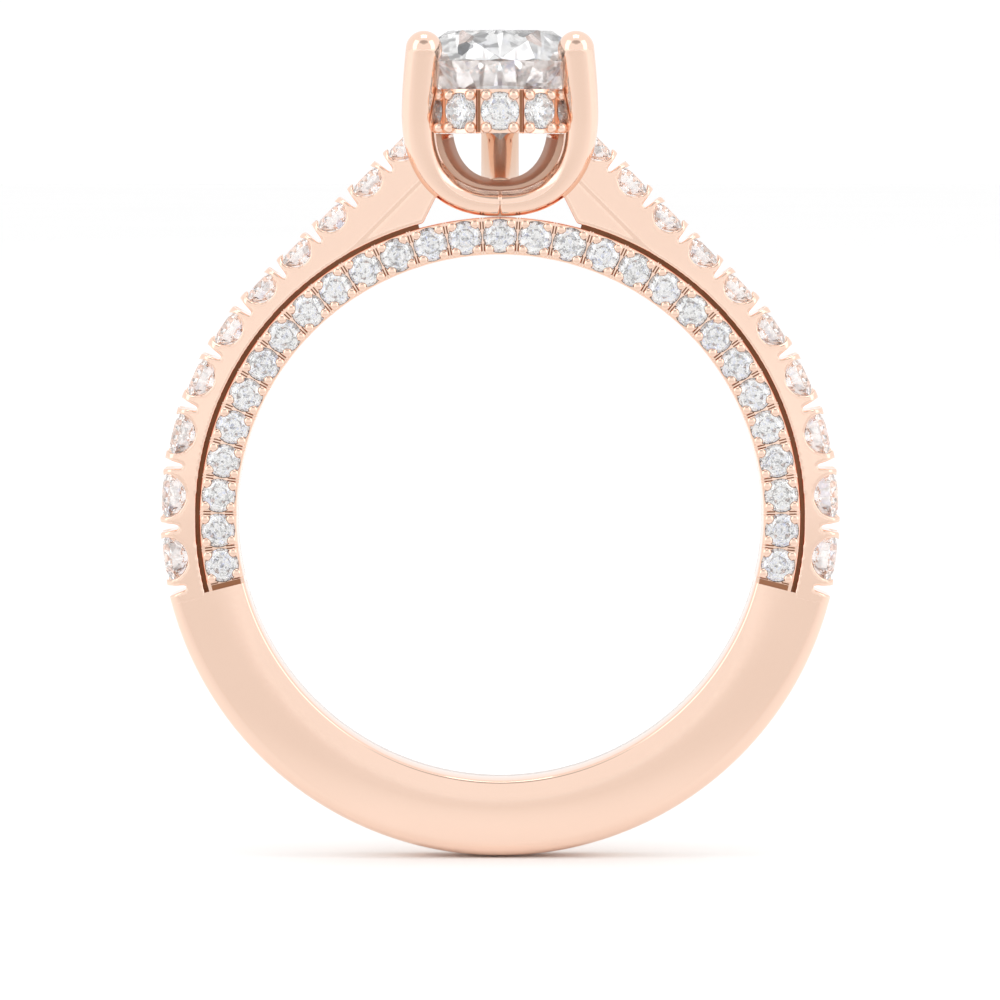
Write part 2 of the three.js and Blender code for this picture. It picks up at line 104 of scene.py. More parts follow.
U_BEND_Z = 12.5
U_BASE_Z = 9.43
U_FLOOR_Z = 10.3
BEND_POWER = 2 / 2.4
ARM_X = 2.515
ARM_CLOSING = 0.17
ARM_TIP_Z = 15.23
ARM_FOOT_RADIUS = 0.435
ARM_RADIUS = 0.545
ARM_TIP_RADIUS = 0.572
POINT_PRONG_RADIUS = 0.47
POINT_TIP_RADIUS = 0.58
PRONG_FOOT_Y = -0.5
PRONG_LEAN = -0.3687
PEAR_HALF_WIDTH = 2.8
PEAR_ROUND = 2.95
PEAR_POINT = 4.6
PEAR_MIDDLE_Y = -0.42
PEAR_POWER = 1.9
GIRDLE_Z = 14.26
CULET_Z = 11.81
TABLE_Z = 15.21
TABLE_SHARE = 0.58
HALO_FOOT_Z = 12.03
HALO_TOP_Z = 13.38
HALO_INSET = 0.48
HALO_WALL = 0.42
HALO_STONES_PER_WING = 6
HALO_PITCH = 1.29
HALO_PITCH_DROP = 0.055
HALO_SPACING = 0.12
HALO_GIRDLE_DEPTH = 0.06
HALO_GRAIN_SIZE = 0.19
HALO_SLOT_SIZE = (0.09, 0.3, 2.0)
CRADLE_HALF_WIDTH = 2.43
CRADLE_OPENING = 1.97
CAMERA_RISE = 3.75
CAMERA_DISTANCE = 0.17
CAMERA_LENS = 194.6
AIM_HEIGHT = 0.00052
VOXEL = 0.045


# ------------------------------------------------------------ node maths
class Tree:
    """Nodes of one material or world."""

    def __init__(self, tree):
        self.tree = tree
        tree.nodes.clear()

    def node(self, kind, settings=None, **sockets):
        """A node of the given type, its settings set first, then the values or links of its sockets."""
        made = self.tree.nodes.new(kind)
        for key, value in (settings or {}).items():
            setattr(made, key, value)
        for key, value in sockets.items():
            name = key.replace("_", " ")
            socket = made.inputs[int(key[1:])] if key[0] == "i" and key[1:].isdigit() else made.inputs[name]
            if isinstance(value, Value):
                self.tree.links.new(value.socket, socket)
            else:
                socket.default_value = value
        return made

    def value(self, kind, output, settings=None, **sockets):
        return Value(self, self.node(kind, settings, **sockets).outputs[output])


class Value:
    """A socket's output that can be used in ordinary sums."""

    def __init__(self, tree, socket):
        self.tree = tree
        self.socket = socket

    def math(self, operation, a, b=0.0, clamp=False):
        settings = {"operation": operation, "use_clamp": clamp}
        return self.tree.value("ShaderNodeMath", 0, settings, i0=a, i1=b)

    def __add__(self, other):
        return self.math("ADD", self, other)

    def __radd__(self, other):
        return self.math("ADD", other, self)

    def __sub__(self, other):
        return self.math("SUBTRACT", self, other)

    def __rsub__(self, other):
        return self.math("SUBTRACT", other, self)

    def __mul__(self, other):
        return self.math("MULTIPLY", self, other)

    def __rmul__(self, other):
        return self.math("MULTIPLY", other, self)

    def __truediv__(self, other):
        return self.math("DIVIDE", self, other)

    def __rtruediv__(self, other):
        return self.math("DIVIDE", other, self)

    def clamped(self):
        return self.math("ADD", self, 0.0, clamp=True)

    def blend(self, low, high):
        """A colour between low and high, by this value."""
        settings = {"data_type": "RGBA"}
        return self.tree.value("ShaderNodeMix", 2, settings, i0=self, i6=low, i7=high)


def material(name, build):
    made = bpy.data.materials.new(name)
    made.use_nodes = True
    tree = Tree(made.node_tree)
    shader = build(tree)
    tree.node("ShaderNodeOutputMaterial", Surface=shader)
    return made


def gold(name, base, shade, roughness):
    """Polished rose gold with a faint unevenness in tone and polish."""

    def build(tree):
        place = tree.value("ShaderNodeTexCoord", "Object")
        broad = tree.value("ShaderNodeTexNoise", 0, Vector=place, Scale=180.0, Detail=2.0)
        fine = tree.value("ShaderNodeTexNoise", 0, Vector=place, Scale=2600.0, Detail=3.0)
        tone = (broad * 1.6 - 0.3).clamped()
        bump = tree.value("ShaderNodeBump", 0, Strength=0.02, Distance=0.00002, Height=fine)
        return tree.value(
            "ShaderNodeBsdfPrincipled", 0,
            Base_Color=tone.blend(shade, base),
            Roughness=roughness + fine * 0.03,
            Metallic=1.0,
            Normal=bump,
        )

    return material(name, build)


def painted_sparkle(tree, cell, share, depth):
    """Painted reflections: white broken into cells, a share of them grey as painted dark facets, and a few with a
    faint painted flash of colour.
    """
    place = tree.value("ShaderNodeTexCoord", "Object")
    cells = tree.value("ShaderNodeTexVoronoi", 1, Vector=place, Scale=cell)
    parts = tree.node("ShaderNodeSeparateColor", Color=cells)
    red, green, blue = (Value(tree, output) for output in parts.outputs)
    # The grey cells are painted dark facet reflections, and the bluish cells below are painted flashes of colour.
    grey = ((red - (1.0 - share)) * 12.0).clamped() * depth * (0.5 + green * 0.5)
    colour_flash = ((blue - 0.9) * 12.0).clamped() * 0.35
    dark = grey.blend((1, 1, 1, 1), (0.006, 0.007, 0.010, 1))
    return tree.value("ShaderNodeMix", 2, {"data_type": "RGBA"}, i0=colour_flash, i6=dark, i7=(0.45, 0.55, 1.0, 1))


def diamond(cell, share, depth, clear):
    """Clear diamond with the light and dark of its reflections painted into its base colour."""

    def build(tree):
        colour = painted_sparkle(tree, cell, share, depth)
        return tree.value(
            "ShaderNodeBsdfPrincipled", 0,
            Base_Color=colour,
            Roughness=0.0,
            IOR=2.42,
            Transmission_Weight=clear,
        )

    return material("diamond", build)


def foil(cell):
    """The mirror-bright back facets of a set diamond, seen through its crown, with painted reflections and flashes
    of colour in their base colour.
    """

    def build(tree):
        colour = painted_sparkle(tree, cell, 0.12, 0.75)
        return tree.value("ShaderNodeBsdfPrincipled", 0, Base_Color=colour, Roughness=0.02, Metallic=1.0)

    return material("diamond_back", build)


GOLD = gold("rose_gold", (0.96, 0.71, 0.58, 1), (0.93, 0.68, 0.55, 1), 0.08)
SHADED_GOLD = gold("rose_gold_shaded", (0.82, 0.58, 0.45, 1), (0.77, 0.53, 0.40, 1), 0.18)
# A darker copy of the gold: painted shade on the cradle's inner walls.
INNER_SHADE_GOLD = gold("rose_gold_painted_inner_shade", (0.62, 0.41, 0.31, 1), (0.54, 0.34, 0.25, 1), 0.32)
# A very dark copy of the gold: painted shade at the bottoms of slits, slots and seats and in the groove.
SHADE_FILL_GOLD = gold("rose_gold_painted_shade_fill", (0.44, 0.22, 0.13, 1), (0.32, 0.14, 0.07, 1), 0.45)
DIAMOND = diamond(9000.0, 0.07, 0.7, 0.85)
SIDE_DIAMOND = diamond(3600.0, 0.16, 0.6, 1.0)
DIAMOND_BACK = foil(11000.0)
CENTRE_CROWN = diamond(2300.0, 0.5, 1.0, 0.94)
CENTRE_PAVILION = diamond(2600.0, 0.08, 0.7, 0.78)


# ------------------------------------------------------------ making pieces
def piece(name, bm, finish, slot, *nodes, smooth=None):
    """A finished piece from a mesh in millimetres: closed, faces outwards, at the origin."""
    bmesh.ops.scale(bm, vec=(MM, MM, MM), verts=bm.verts)
    bmesh.ops.recalc_face_normals(bm, faces=bm.faces)
    mesh = bpy.data.meshes.new(name)
    bm.to_mesh(mesh)
    bm.free()
    if smooth is not None:
        mesh.shade_smooth()
        mesh.set_sharp_from_angle(angle=math.radians(smooth))
    made = bpy.data.objects.new(name, mesh)
    bpy.context.scene.collection.objects.link(made)
    for one in finish if isinstance(finish, tuple) else (finish,):
        mesh.materials.append(one)
    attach(made, "root")
    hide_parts(*nodes)
    return made


def scratch(bm):
    """A temporary object, in millimetres, for modifiers to work on."""
    bmesh.ops.recalc_face_normals(bm, faces=bm.faces)
    mesh = bpy.data.meshes.new("scratch")
    bm.to_mesh(mesh)
    bm.free()
    made = bpy.data.objects.new("scratch", mesh)
    bpy.context.scene.collection.objects.link(made)
    return made


def taken(made):
    """The mesh of a temporary object after its modifiers, which are then gone."""
    shown = made.evaluated_get(bpy.context.evaluated_depsgraph_get())
    bm = bmesh.new()
    bm.from_mesh(shown.to_mesh())
    shown.to_mesh_clear()
    bpy.data.objects.remove(made)
    return bm


def cut(bm, tools):
    """bm less every closed solid in tools."""
    body = scratch(bm)
    knife = scratch(tools)
    step = body.modifiers.new("cut", "BOOLEAN")
    step.operation = "DIFFERENCE"
    step.solver = "EXACT"
    step.use_self = True
    step.object = knife
    result = taken(body)
    bpy.data.objects.remove(knife)
    return result


def fused(bm, rounds):
    """Overlapping solids melted into one skin with soft corners."""
    body = scratch(bm)
    step = body.modifiers.new("fuse", "REMESH")
    step.mode = "VOXEL"
    step.voxel_size = VOXEL
    soften = body.modifiers.new("soften", "SMOOTH")
    soften.factor = 0.5
    soften.iterations = rounds
    return taken(body)


def add(bm, other):
    """other's geometry moved into bm."""
    mesh = bpy.data.meshes.new("part")
    other.to_mesh(mesh)
    other.free()
    bm.from_mesh(mesh)
    bpy.data.meshes.remove(mesh)
    return bm


def placed(bm, x, y, z, turn=0.0):
    """bm turned about the finger axis, by degrees from the top towards +X, and moved."""
    turning = Matrix.Rotation(math.radians(turn), 4, "Y")
    bmesh.ops.transform(bm, matrix=Matrix.Translation((x, y, z)) @ turning, verts=bm.verts)
    return bm


def aimed(bm, place, direction, spin=0.0):
    """bm with its +Z laid along direction, moved to place."""
    turning = Vector(direction).to_track_quat("Z", "Y").to_matrix().to_4x4()
    own = Matrix.Rotation(math.radians(spin), 4, "Z")
    bmesh.ops.transform(bm, matrix=Matrix.Translation(place) @ turning @ own, verts=bm.verts)
    return bm


class Outline:
    """A closed outline in the XZ plane, drawn with points and arcs."""

    def __init__(self, x, z):
        self.bm = bmesh.new()
        self.first = self.last = self.bm.verts.new((x, 0, z))

    def to(self, x, z):
        made = self.bm.verts.new((x, 0, z))
        self.bm.edges.new((self.last, made))
        self.last = made
        return self

    def sweep(self, degrees, steps, centre=(0, 0)):
        swept = bmesh.ops.spin(
            self.bm, geom=[self.last], cent=(centre[0], 0, centre[1]), axis=(0, 1, 0),
            angle=math.radians(degrees), steps=steps,
        )
        self.last = swept["geom_last"][0]
        return self

    def solid(self, low, high):
        """The outline closed, filled and extruded from y = low to y = high."""
        bm = self.bm
        bm.edges.new((self.last, self.first))
        bmesh.ops.contextual_create(bm, geom=bm.edges[:])
        bmesh.ops.translate(bm, vec=(0, low, 0), verts=bm.verts)
        pushed = bmesh.ops.extrude_face_region(bm, geom=bm.faces[:], use_keep_orig=True)
        fresh = [v for v in pushed["geom"] if isinstance(v, bmesh.types.BMVert)]
        bmesh.ops.translate(bm, vec=(0, high - low, 0), verts=fresh)
        bmesh.ops.recalc_face_normals(bm, faces=bm.faces)
        return bm


def soften_edges(bm, chosen, width, segments):
    bmesh.ops.bevel(
        bm, geom=[e for e in bm.edges if chosen(e)], offset=width, segments=segments,
        profile=0.5, affect="EDGES", material=-1, clamp_overlap=True,
    )


def middle(edge):
    return (edge.verts[0].co + edge.verts[1].co) / 2


def on_circle(radius, degrees):
    turn = math.radians(degrees)
    return radius * math.sin(turn), radius * math.cos(turn)


# ------------------------------------------------------------ cutting diamonds
def facet(bm, point, normal):
    """One flat facet ground on bm: everything beyond the plane goes, and the cut is closed."""
    ground = bmesh.ops.bisect_plane(
        bm, geom=bm.verts[:] + bm.edges[:] + bm.faces[:], dist=1e-5,
        plane_co=point, plane_no=normal, clear_outer=True,
    )
    rim = [e for e in ground["geom_cut"] if isinstance(e, bmesh.types.BMEdge) and e.is_boundary]
    if len(rim) > 2:
        bmesh.ops.contextual_create(bm, geom=rim)


def round_brilliant(diameter):
    """A round brilliant, girdle at z = 0, table upwards."""
    bm = bmesh.new()
    bmesh.ops.create_cone(bm, cap_ends=True, segments=32, radius1=0.5, radius2=0.5, depth=1.0)
    girdle = 0.012
    table = 0.15
    facet(bm, (0, 0, table), (0, 0, 1))
    crown, below = 34.5, 40.9
    corner = 0.5 - (table - girdle) / math.tan(math.radians(crown))
    families = [
        (8, 0, crown, 0.5, girdle),
        (8, 22.5, 21.5, corner * math.cos(math.radians(22.5)), table),
        (16, 11.25, 41.5, 0.4905, girdle),
        (8, 0, -below, 0.5, -girdle),
        (16, 11.25, -42.3, 0.4905, -girdle),
    ]
    for count, start, slope, reach, height in families:
        up = math.copysign(1, slope)
        lean = math.radians(abs(slope))
        for i in range(count):
            turn = math.radians(start + 360 * i / count)
            flat = Vector((math.cos(turn), math.sin(turn), 0))
            normal = flat * math.sin(lean) + Vector((0, 0, up * math.cos(lean)))
            facet(bm, flat * reach + Vector((0, 0, height)), normal)
    bm.normal_update()
    for face in bm.faces:
        face.material_index = 1 if face.normal.z < -0.1 else 0
    bmesh.ops.scale(bm, vec=(diameter,) * 3, verts=bm.verts)
    return bm


# ------------------------------------------------------------ outlines and sites
def pear(clock, inset=0.0):
    """A point of the pear outline and the way out of it; clock runs from the round end, 0, to the point, 180."""

    def edge(at):
        share = abs(at) / 90
        if share <= 1:
            x = PEAR_HALF_WIDTH * math.sin(math.radians(90 * share))
            y = -PEAR_ROUND * math.cos(math.radians(90 * share))
        else:
            along = math.sin(math.radians(90 * (share - 1)))
            x = PEAR_HALF_WIDTH * (1 - along ** PEAR_POWER)
            y = PEAR_POINT * along
        return Vector((math.copysign(x, at), y, 0))

    if abs(clock) > 179.9:
        out = Vector((0, 1, 0))
    elif abs(clock) < 0.1:
        out = Vector((0, -1, 0))
    else:
        ahead = edge(clock + 0.4) - edge(clock - 0.4)
        out = Vector((ahead.y, -ahead.x, 0)).normalized()
    return edge(clock) - out * inset, out


def band_site(length, side):
    """Place and turn, in degrees from the top, of a point on the line of the band stones' girdles."""
    radius = BAND_RADIUS - GIRDLE_DEPTH
    shoulder = math.radians(SHOULDER_ANGLE)
    straight = (radius * math.sin(shoulder) - FIRST_STONE_X) / math.cos(shoulder)
    angle = shoulder + max(0.0, length - straight) / radius
    back = max(0.0, straight - length)
    x = radius * math.sin(angle) - back * math.cos(angle)
    z = radius * math.cos(angle) + back * math.sin(angle)
    return Vector((side * x, 0, z)), side * math.degrees(angle)


def halo_sites():
    """Place, way out and diameter of each halo stone: the front one, then pairs right and left."""
    sites = []
    inset = HALO_INSET + HALO_GIRDLE_DEPTH
    clock = 0.0
    pitch = HALO_PITCH
    height = (HALO_FOOT_Z + HALO_TOP_Z) / 2
    for i in range(HALO_STONES_PER_WING + 1):
        spot, out = pear(clock, inset)
        for side in [1] if i == 0 else [1, -1]:
            place = Vector((side * spot.x, spot.y + PEAR_MIDDLE_Y, height))
            sites.append((place, Vector((side * out.x, out.y, 0)), pitch - HALO_SPACING))
        travelled = 0.0
        while travelled < pitch and clock < 179.5:
            step = (pear(clock + 0.5, inset)[0] - pear(clock, inset)[0]).length
            travelled += step
            clock += 0.5
        pitch -= HALO_PITCH_DROP
    return sites


# ------------------------------------------------------------ the centre stone
def pear_brilliant():
    """The pear brilliant with its girdle at z = 0 and the point towards +Y."""
    bm = bmesh.new()
    bmesh.ops.create_circle(bm, cap_ends=True, segments=72, radius=1.0)
    for v in bm.verts:
        v.co = pear(math.degrees(math.atan2(v.co.x, -v.co.y)))[0]
    pushed = bmesh.ops.extrude_face_region(bm, geom=bm.faces[:], use_keep_orig=True)
    fresh = [v for v in pushed["geom"] if isinstance(v, bmesh.types.BMVert)]
    table, culet, girdle = TABLE_Z - GIRDLE_Z, GIRDLE_Z - CULET_Z, 0.05
    bmesh.ops.translate(bm, vec=(0, 0, table + culet), verts=fresh)
    bmesh.ops.translate(bm, vec=(0, 0, -culet), verts=bm.verts)
    bmesh.ops.recalc_face_normals(bm, faces=bm.faces)
    mains = [-135, -90, -45, 0, 45, 90, 135, 180]

    def chord(first, second, scale):
        a, b = pear(first)[0] * scale, pear(second)[0] * scale
        along = b - a
        return (a + b) / 2, Vector((along.y, -along.x, 0)).normalized()

    def rise(reach, out, height):
        """How steeply a facet climbs from the girdle to reach the table or the culet."""
        return math.atan2(height - girdle, reach.dot(out))

    def grind(reach, out, height, slope, up):
        normal = out * math.sin(slope) + Vector((0, 0, up * math.cos(slope)))
        facet(bm, reach + Vector((0, 0, height)), normal)

    for clock in mains:
        reach, out = pear(clock)
        grind(reach, out, girdle, rise(reach * (1 - TABLE_SHARE), out, table), 1)
        grind(reach, out, -girdle, rise(reach, out, culet), -1)
    for i, clock in enumerate(mains):
        after = mains[(i + 1) % len(mains)]
        reach, out = chord(clock, after, TABLE_SHARE)
        grind(reach, out, table, math.radians(20), 1)
        half = clock + 22.5 if clock < 180 else -157.5
        near = clock if clock < 180 else -180
        for first, second in ((near, half), (half, after)):
            reach, out = chord(first, second, 1.0)
            inward = reach * (1 - TABLE_SHARE)
            grind(reach, out, girdle, rise(inward, out, table) * 1.2, 1)
            grind(reach, out, -girdle, rise(reach, out, culet) * 1.035, -1)
    bm.normal_update()
    for face in bm.faces:
        face.material_index = 1 if face.normal.z < -0.1 else 0
    return bm


def centre_stone():
    bm = pear_brilliant()
    bmesh.ops.translate(bm, vec=(0, PEAR_MIDDLE_Y, GIRDLE_Z), verts=bm.verts)
    piece("centre_stone_cut", bm, (CENTRE_CROWN, CENTRE_PAVILION), "diamond", "centre_stone")


# ------------------------------------------------------------ small stones
def small_stones():
    for side, word in ((1, "right"), (-1, "left")):
        for i, (length, diameter) in enumerate(zip(STONE_LENGTHS, STONE_DIAMETERS), 1):
            place, turn = band_site(length, side)
            bm = placed(round_brilliant(diameter * STONE_SHRINK), *place, turn)
            node = f"band_stone_{word}_{i:02d}"
            piece(node + "_cut", bm, (SIDE_DIAMOND, SIDE_DIAMOND), "diamond", node)
    for i, (place, out, diameter) in enumerate(halo_sites(), 1):
        bm = aimed(round_brilliant(diameter), place, out)
        node = f"halo_stone_{i:02d}"
        piece(node + "_cut", bm, (DIAMOND, DIAMOND_BACK), "diamond", node)
    for face, word in ((-1, "front"), (1, "back")):
        row = bmesh.new()
        for i in range(GALLERY_STONES):
            turn = (i - (GALLERY_STONES - 1) / 2) * GALLERY_STEP
            x, z = on_circle(GALLERY_RADIUS, turn)
            stone = aimed(round_brilliant(GALLERY_DIAMETER), (x, face * GALLERY_GIRDLE, z), (0, face, 0), i * 40)
            add(row, stone)
        node = f"gallery_stones_{word}"
        piece(node + "_cut", row, (DIAMOND, DIAMOND_BACK), "diamond", node)


# ------------------------------------------------------------ the band
def seat_tool(diameter):
    """The room of a set stone: a cone under the girdle and a straight mouth above it."""
    bm = bmesh.new()
    radius = diameter / 2 + SEAT_ROOM
    deep = diameter * SEAT_DEPTH_SHARE
    bmesh.ops.create_cone(bm, cap_ends=True, segments=24, radius1=0.05, radius2=radius, depth=deep)
    bmesh.ops.translate(bm, vec=(0, 0, -deep / 2 - 0.02), verts=bm.verts)
    mouth = bmesh.new()
    bmesh.ops.create_cone(mouth, cap_ends=True, segments=24, radius1=radius, radius2=radius, depth=0.6)
    bmesh.ops.translate(mouth, vec=(0, 0, 0.3 - 0.022), verts=mouth.verts)
    return add(bm, mouth)


def slot_outline(top, foot, depth):
    """A slot seen from the side: top wide at the tips, foot wide at its round bottom, depth deep."""
    mouth = 1.2
    line = Outline(top / 2 + 0.1, mouth).to(top / 2, 0.0).to(foot / 2, foot / 2 - depth)
    line.sweep(180, 12, centre=(0, foot / 2 - depth))
    return line.to(-top / 2, 0.0).to(-top / 2 - 0.1, mouth)


def set_half(side, word):
    """One shoulder and the side of the band below it, scalloped and notched round its stones."""
    line = Outline(*SHOULDER_END).to(*on_circle(BAND_RADIUS, SHOULDER_ANGLE))
    line.sweep(SET_END_ANGLE - SHOULDER_ANGLE, 40)
    line.to(*on_circle(POCKET_RADIUS, SET_END_ANGLE))
    line.sweep(SHOULDER_FOOT - SET_END_ANGLE, 60)
    blank = line.to(*WEB_TOP).to(2.0, 11.4).solid(-HALF_WIDTH, HALF_WIDTH)

    def outer_rim(edge):
        spot = middle(edge)
        on_line = abs(spot.x + spot.z - sum(SHOULDER_END)) < 0.02 and spot.x > 2.5
        beyond = math.hypot(spot.x, spot.z) > BAND_RADIUS - 0.05
        flat = abs(abs(spot.y) - HALF_WIDTH) < 1e-4
        return flat and (on_line or beyond)

    soften_edges(blank, outer_rim, RIM_ROUNDING, 5)
    tools = bmesh.new()
    for face in (1, -1):
        web = Outline(-0.5, CREASE_SUM + 0.5).to(6.6, CREASE_SUM - 6.6).to(5.2, 5.6).to(0.2, 9.0)
        add(tools, web.solid(*sorted((face * WEB_HALF_WIDTH, face * TOOL_REACH))))
    for i, (length, diameter) in enumerate(zip(STONE_LENGTHS, STONE_DIAMETERS)):
        place, turn = band_site(length, 1)
        before = STONE_LENGTHS[i] - STONE_LENGTHS[i - 1] if i else STONE_LENGTHS[1]
        deep = SCALLOP_DEPTH + (diameter - STONE_DIAMETERS[0]) * SCALLOP_GROWTH
        scallop = slot_outline(before - CLAW_PAIR, diameter * SCALLOP_FOOT_SHARE, deep)
        scallop = scallop.solid(-TOOL_REACH, TOOL_REACH)
        bmesh.ops.translate(scallop, vec=(0, 0, GIRDLE_DEPTH), verts=scallop.verts)
        add(tools, placed(scallop, *place, turn))
        add(tools, placed(seat_tool(diameter * STONE_SHRINK), *place, turn))
        after = STONE_LENGTHS[i + 1] - length if i + 1 < len(STONE_LENGTHS) else LAST_PITCH
        place, turn = band_site(length + after / 2, 1)
        notch = slot_outline(*NOTCH).solid(-TOOL_REACH, TOOL_REACH)
        bmesh.ops.translate(notch, vec=(0, 0, GIRDLE_DEPTH), verts=notch.verts)
        add(tools, placed(notch, *place, turn))
    bm = fused(cut(blank, tools), rounds=BAND_ROUNDS)
    if side < 0:
        bmesh.ops.scale(bm, vec=(-1, 1, 1), verts=bm.verts)
    piece(f"band_set_{word}", bm, GOLD, "rose_gold", "shank", smooth=60)


def plain_shank():
    """The plain lower part: one cross-section, softened at its corners, spun about the finger.

    It is a hair smaller than the band's halves, whose ends lie inside it, so that no two faces coincide.
    """
    bm = bmesh.new()
    middle_radius = (BORE_RADIUS + BAND_RADIUS) / 2
    bmesh.ops.create_grid(bm, x_segments=1, y_segments=1, size=0.5)
    depth = BAND_RADIUS - BORE_RADIUS
    bmesh.ops.scale(bm, vec=(depth, 2 * HALF_WIDTH, 1), verts=bm.verts)
    outer = [v for v in bm.verts if v.co.x > 0]
    inner = [v for v in bm.verts if v.co.x < 0]
    corner = {"profile": 0.5, "affect": "VERTICES", "material": -1}
    bmesh.ops.bevel(bm, geom=outer, offset=PLAIN_OUTER_ROUNDING, segments=8, **corner)
    bmesh.ops.bevel(bm, geom=inner, offset=PLAIN_INNER_ROUNDING, segments=4, **corner)
    bmesh.ops.scale(bm, vec=(PLAIN_SHARE, PLAIN_SHARE, 1), verts=bm.verts)
    bmesh.ops.translate(bm, vec=(middle_radius, 0, 0), verts=bm.verts)
    start = math.radians(PLAIN_START_ANGLE)
    bmesh.ops.rotate(bm, cent=(0, 0, 0), matrix=Matrix.Rotation(start - math.pi / 2, 3, "Y"), verts=bm.verts)
    bmesh.ops.spin(
        bm, geom=bm.faces[:], cent=(0, 0, 0), axis=(0, 1, 0),
        angle=2 * (math.pi - start), steps=96, use_duplicate=False,
    )
    piece("band_plain", bm, GOLD, "rose_gold", "shank", smooth=40)


# ------------------------------------------------------------ the gallery arch
def bead(bm, place, radius, squash_y=1.0):
    """A small raised grain of metal."""
    ball = bmesh.new()
    bmesh.ops.create_icosphere(ball, subdivisions=2, radius=radius)
    bmesh.ops.scale(ball, vec=(1, squash_y, 1), verts=ball.verts)
    bmesh.ops.translate(ball, vec=place, verts=ball.verts)
    add(bm, ball)


def gallery_arch():
    """The inner rail with its seats, and the grains and split bars that hold its two rows of stones."""
    start = math.radians(-PLAIN_START_ANGLE - 0.02)
    rail = bmesh.new()
    bmesh.ops.create_grid(rail, x_segments=1, y_segments=1, size=0.5)
    depth = ARCH_RADIUS - BORE_RADIUS
    bmesh.ops.scale(rail, vec=(depth, 2 * HALF_WIDTH, 1), verts=rail.verts)
    bmesh.ops.bevel(
        rail, geom=rail.verts[:], offset=RAIL_ROUNDING, segments=3,
        profile=0.5, affect="VERTICES", material=-1,
    )
    bmesh.ops.translate(rail, vec=((ARCH_RADIUS + BORE_RADIUS) / 2, 0, 0), verts=rail.verts)
    bmesh.ops.rotate(rail, cent=(0, 0, 0), matrix=Matrix.Rotation(start - math.pi / 2, 3, "Y"), verts=rail.verts)
    bmesh.ops.spin(
        rail, geom=rail.faces[:], cent=(0, 0, 0), axis=(0, 1, 0), angle=-2 * start, steps=174, use_duplicate=False,
    )
    recess = Outline(*on_circle(BORE_RADIUS + RECESS_INSET, -PLAIN_START_ANGLE))
    recess.sweep(2 * PLAIN_START_ANGLE, 120)
    recess.to(*on_circle(ARCH_RADIUS - RECESS_INSET, PLAIN_START_ANGLE))
    recess.sweep(-2 * PLAIN_START_ANGLE, 120)
    recess = recess.solid(-RECESS_HALF_WIDTH, RECESS_HALF_WIDTH)
    for side in (1, -1):
        foot = side * (SHOULDER_FOOT + 1)
        end = side * PLAIN_START_ANGLE
        rib = Outline(*on_circle(POCKET_RADIUS, foot))
        rib.sweep(end - foot, 60).to(*on_circle(ARCH_RADIUS - 0.3, end)).sweep(foot - end, 60)
        add(recess, rib.solid(-RIB_HALF_WIDTH, RIB_HALF_WIDTH))
    tools = bmesh.new()
    seats = bmesh.new()
    grains = bmesh.new()
    for face in (1, -1):
        for i in range(GALLERY_STONES):
            turn = (i - (GALLERY_STONES - 1) / 2) * GALLERY_STEP
            x, z = on_circle(GALLERY_RADIUS, turn)
            seat = aimed(seat_tool(GALLERY_DIAMETER), (x, face * GALLERY_GIRDLE, z), (0, face, 0))
            add(seats, seat)
            for across in (-1, 1):
                for along in (-1, 1):
                    lean = math.degrees(along * GRAIN_ALONG / GALLERY_RADIUS)
                    bx, bz = on_circle(GALLERY_RADIUS + across * GRAIN_ACROSS, turn + lean)
                    bead(grains, (bx, face * 0.85, bz), GRAIN_SIZE, GRAIN_FLATNESS)
        for i in range(GALLERY_STONES + 1):
            turn = (i - GALLERY_STONES / 2) * GALLERY_STEP
            for across in (-1, 1):
                for along in (-1, 1):
                    slit = bmesh.new()
                    bmesh.ops.create_cube(slit, size=1.0)
                    bmesh.ops.scale(slit, vec=SLIT_SIZE, verts=slit.verts)
                    shift = (along * SLIT_SIZE[0], 0, across * GRAIN_ACROSS)
                    bmesh.ops.translate(slit, vec=shift, verts=slit.verts)
                    x, z = on_circle(GALLERY_RADIUS, turn)
                    add(tools, placed(slit, x, face * HALF_WIDTH, z, turn))
        for side in (1, -1):
            nick = bmesh.new()
            bmesh.ops.create_cube(nick, size=1.0)
            bmesh.ops.scale(nick, vec=(0.18, 0.36, 1.6), verts=nick.verts)
            turn = side * ((ARCH_HALF_ANGLE + PLAIN_START_ANGLE) / 2 + 0.02)
            x, z = on_circle(GALLERY_RADIUS, turn)
            add(tools, placed(nick, x, face * HALF_WIDTH, z, turn))
            corner = bmesh.new()
            bmesh.ops.create_cube(corner, size=1.0)
            bmesh.ops.scale(corner, vec=(0.18, 0.6, 0.4), verts=corner.verts)
            x, z = on_circle(ARCH_RADIUS + 0.05, turn)
            add(tools, placed(corner, x, face * HALF_WIDTH, z, turn))
    seats_again = seats.copy()
    # The dark core inside the rail shows in its slits, seats and nicks, and its ribs in the groove by the band:
    # painted shade.
    piece("gallery_shade_fill", cut(recess, seats_again), SHADE_FILL_GOLD, "rose_gold", "gallery_arch", smooth=30)
    add(tools, seats)
    piece("gallery_rail", cut(rail, tools), GOLD, "rose_gold", "gallery_arch", smooth=30)
    piece("gallery_grains", grains, GOLD, "rose_gold", "gallery_arch", smooth=60)


# ------------------------------------------------------------ the head
def tube(points, radii, name):
    """A round bar along points, radii giving its half thickness."""
    curve = bpy.data.curves.new(name, "CURVE")
    curve.dimensions = "3D"
    curve.bevel_depth = 1.0
    curve.bevel_resolution = 8
    curve.use_fill_caps = True
    spline = curve.splines.new("POLY")
    spline.points.add(len(points) - 1)
    for made, spot, radius in zip(spline.points, points, radii):
        made.co = (*spot, 1.0)
        made.radius = radius
    holder = bpy.data.objects.new(name, curve)
    bpy.context.scene.collection.objects.link(holder)
    return taken(holder)


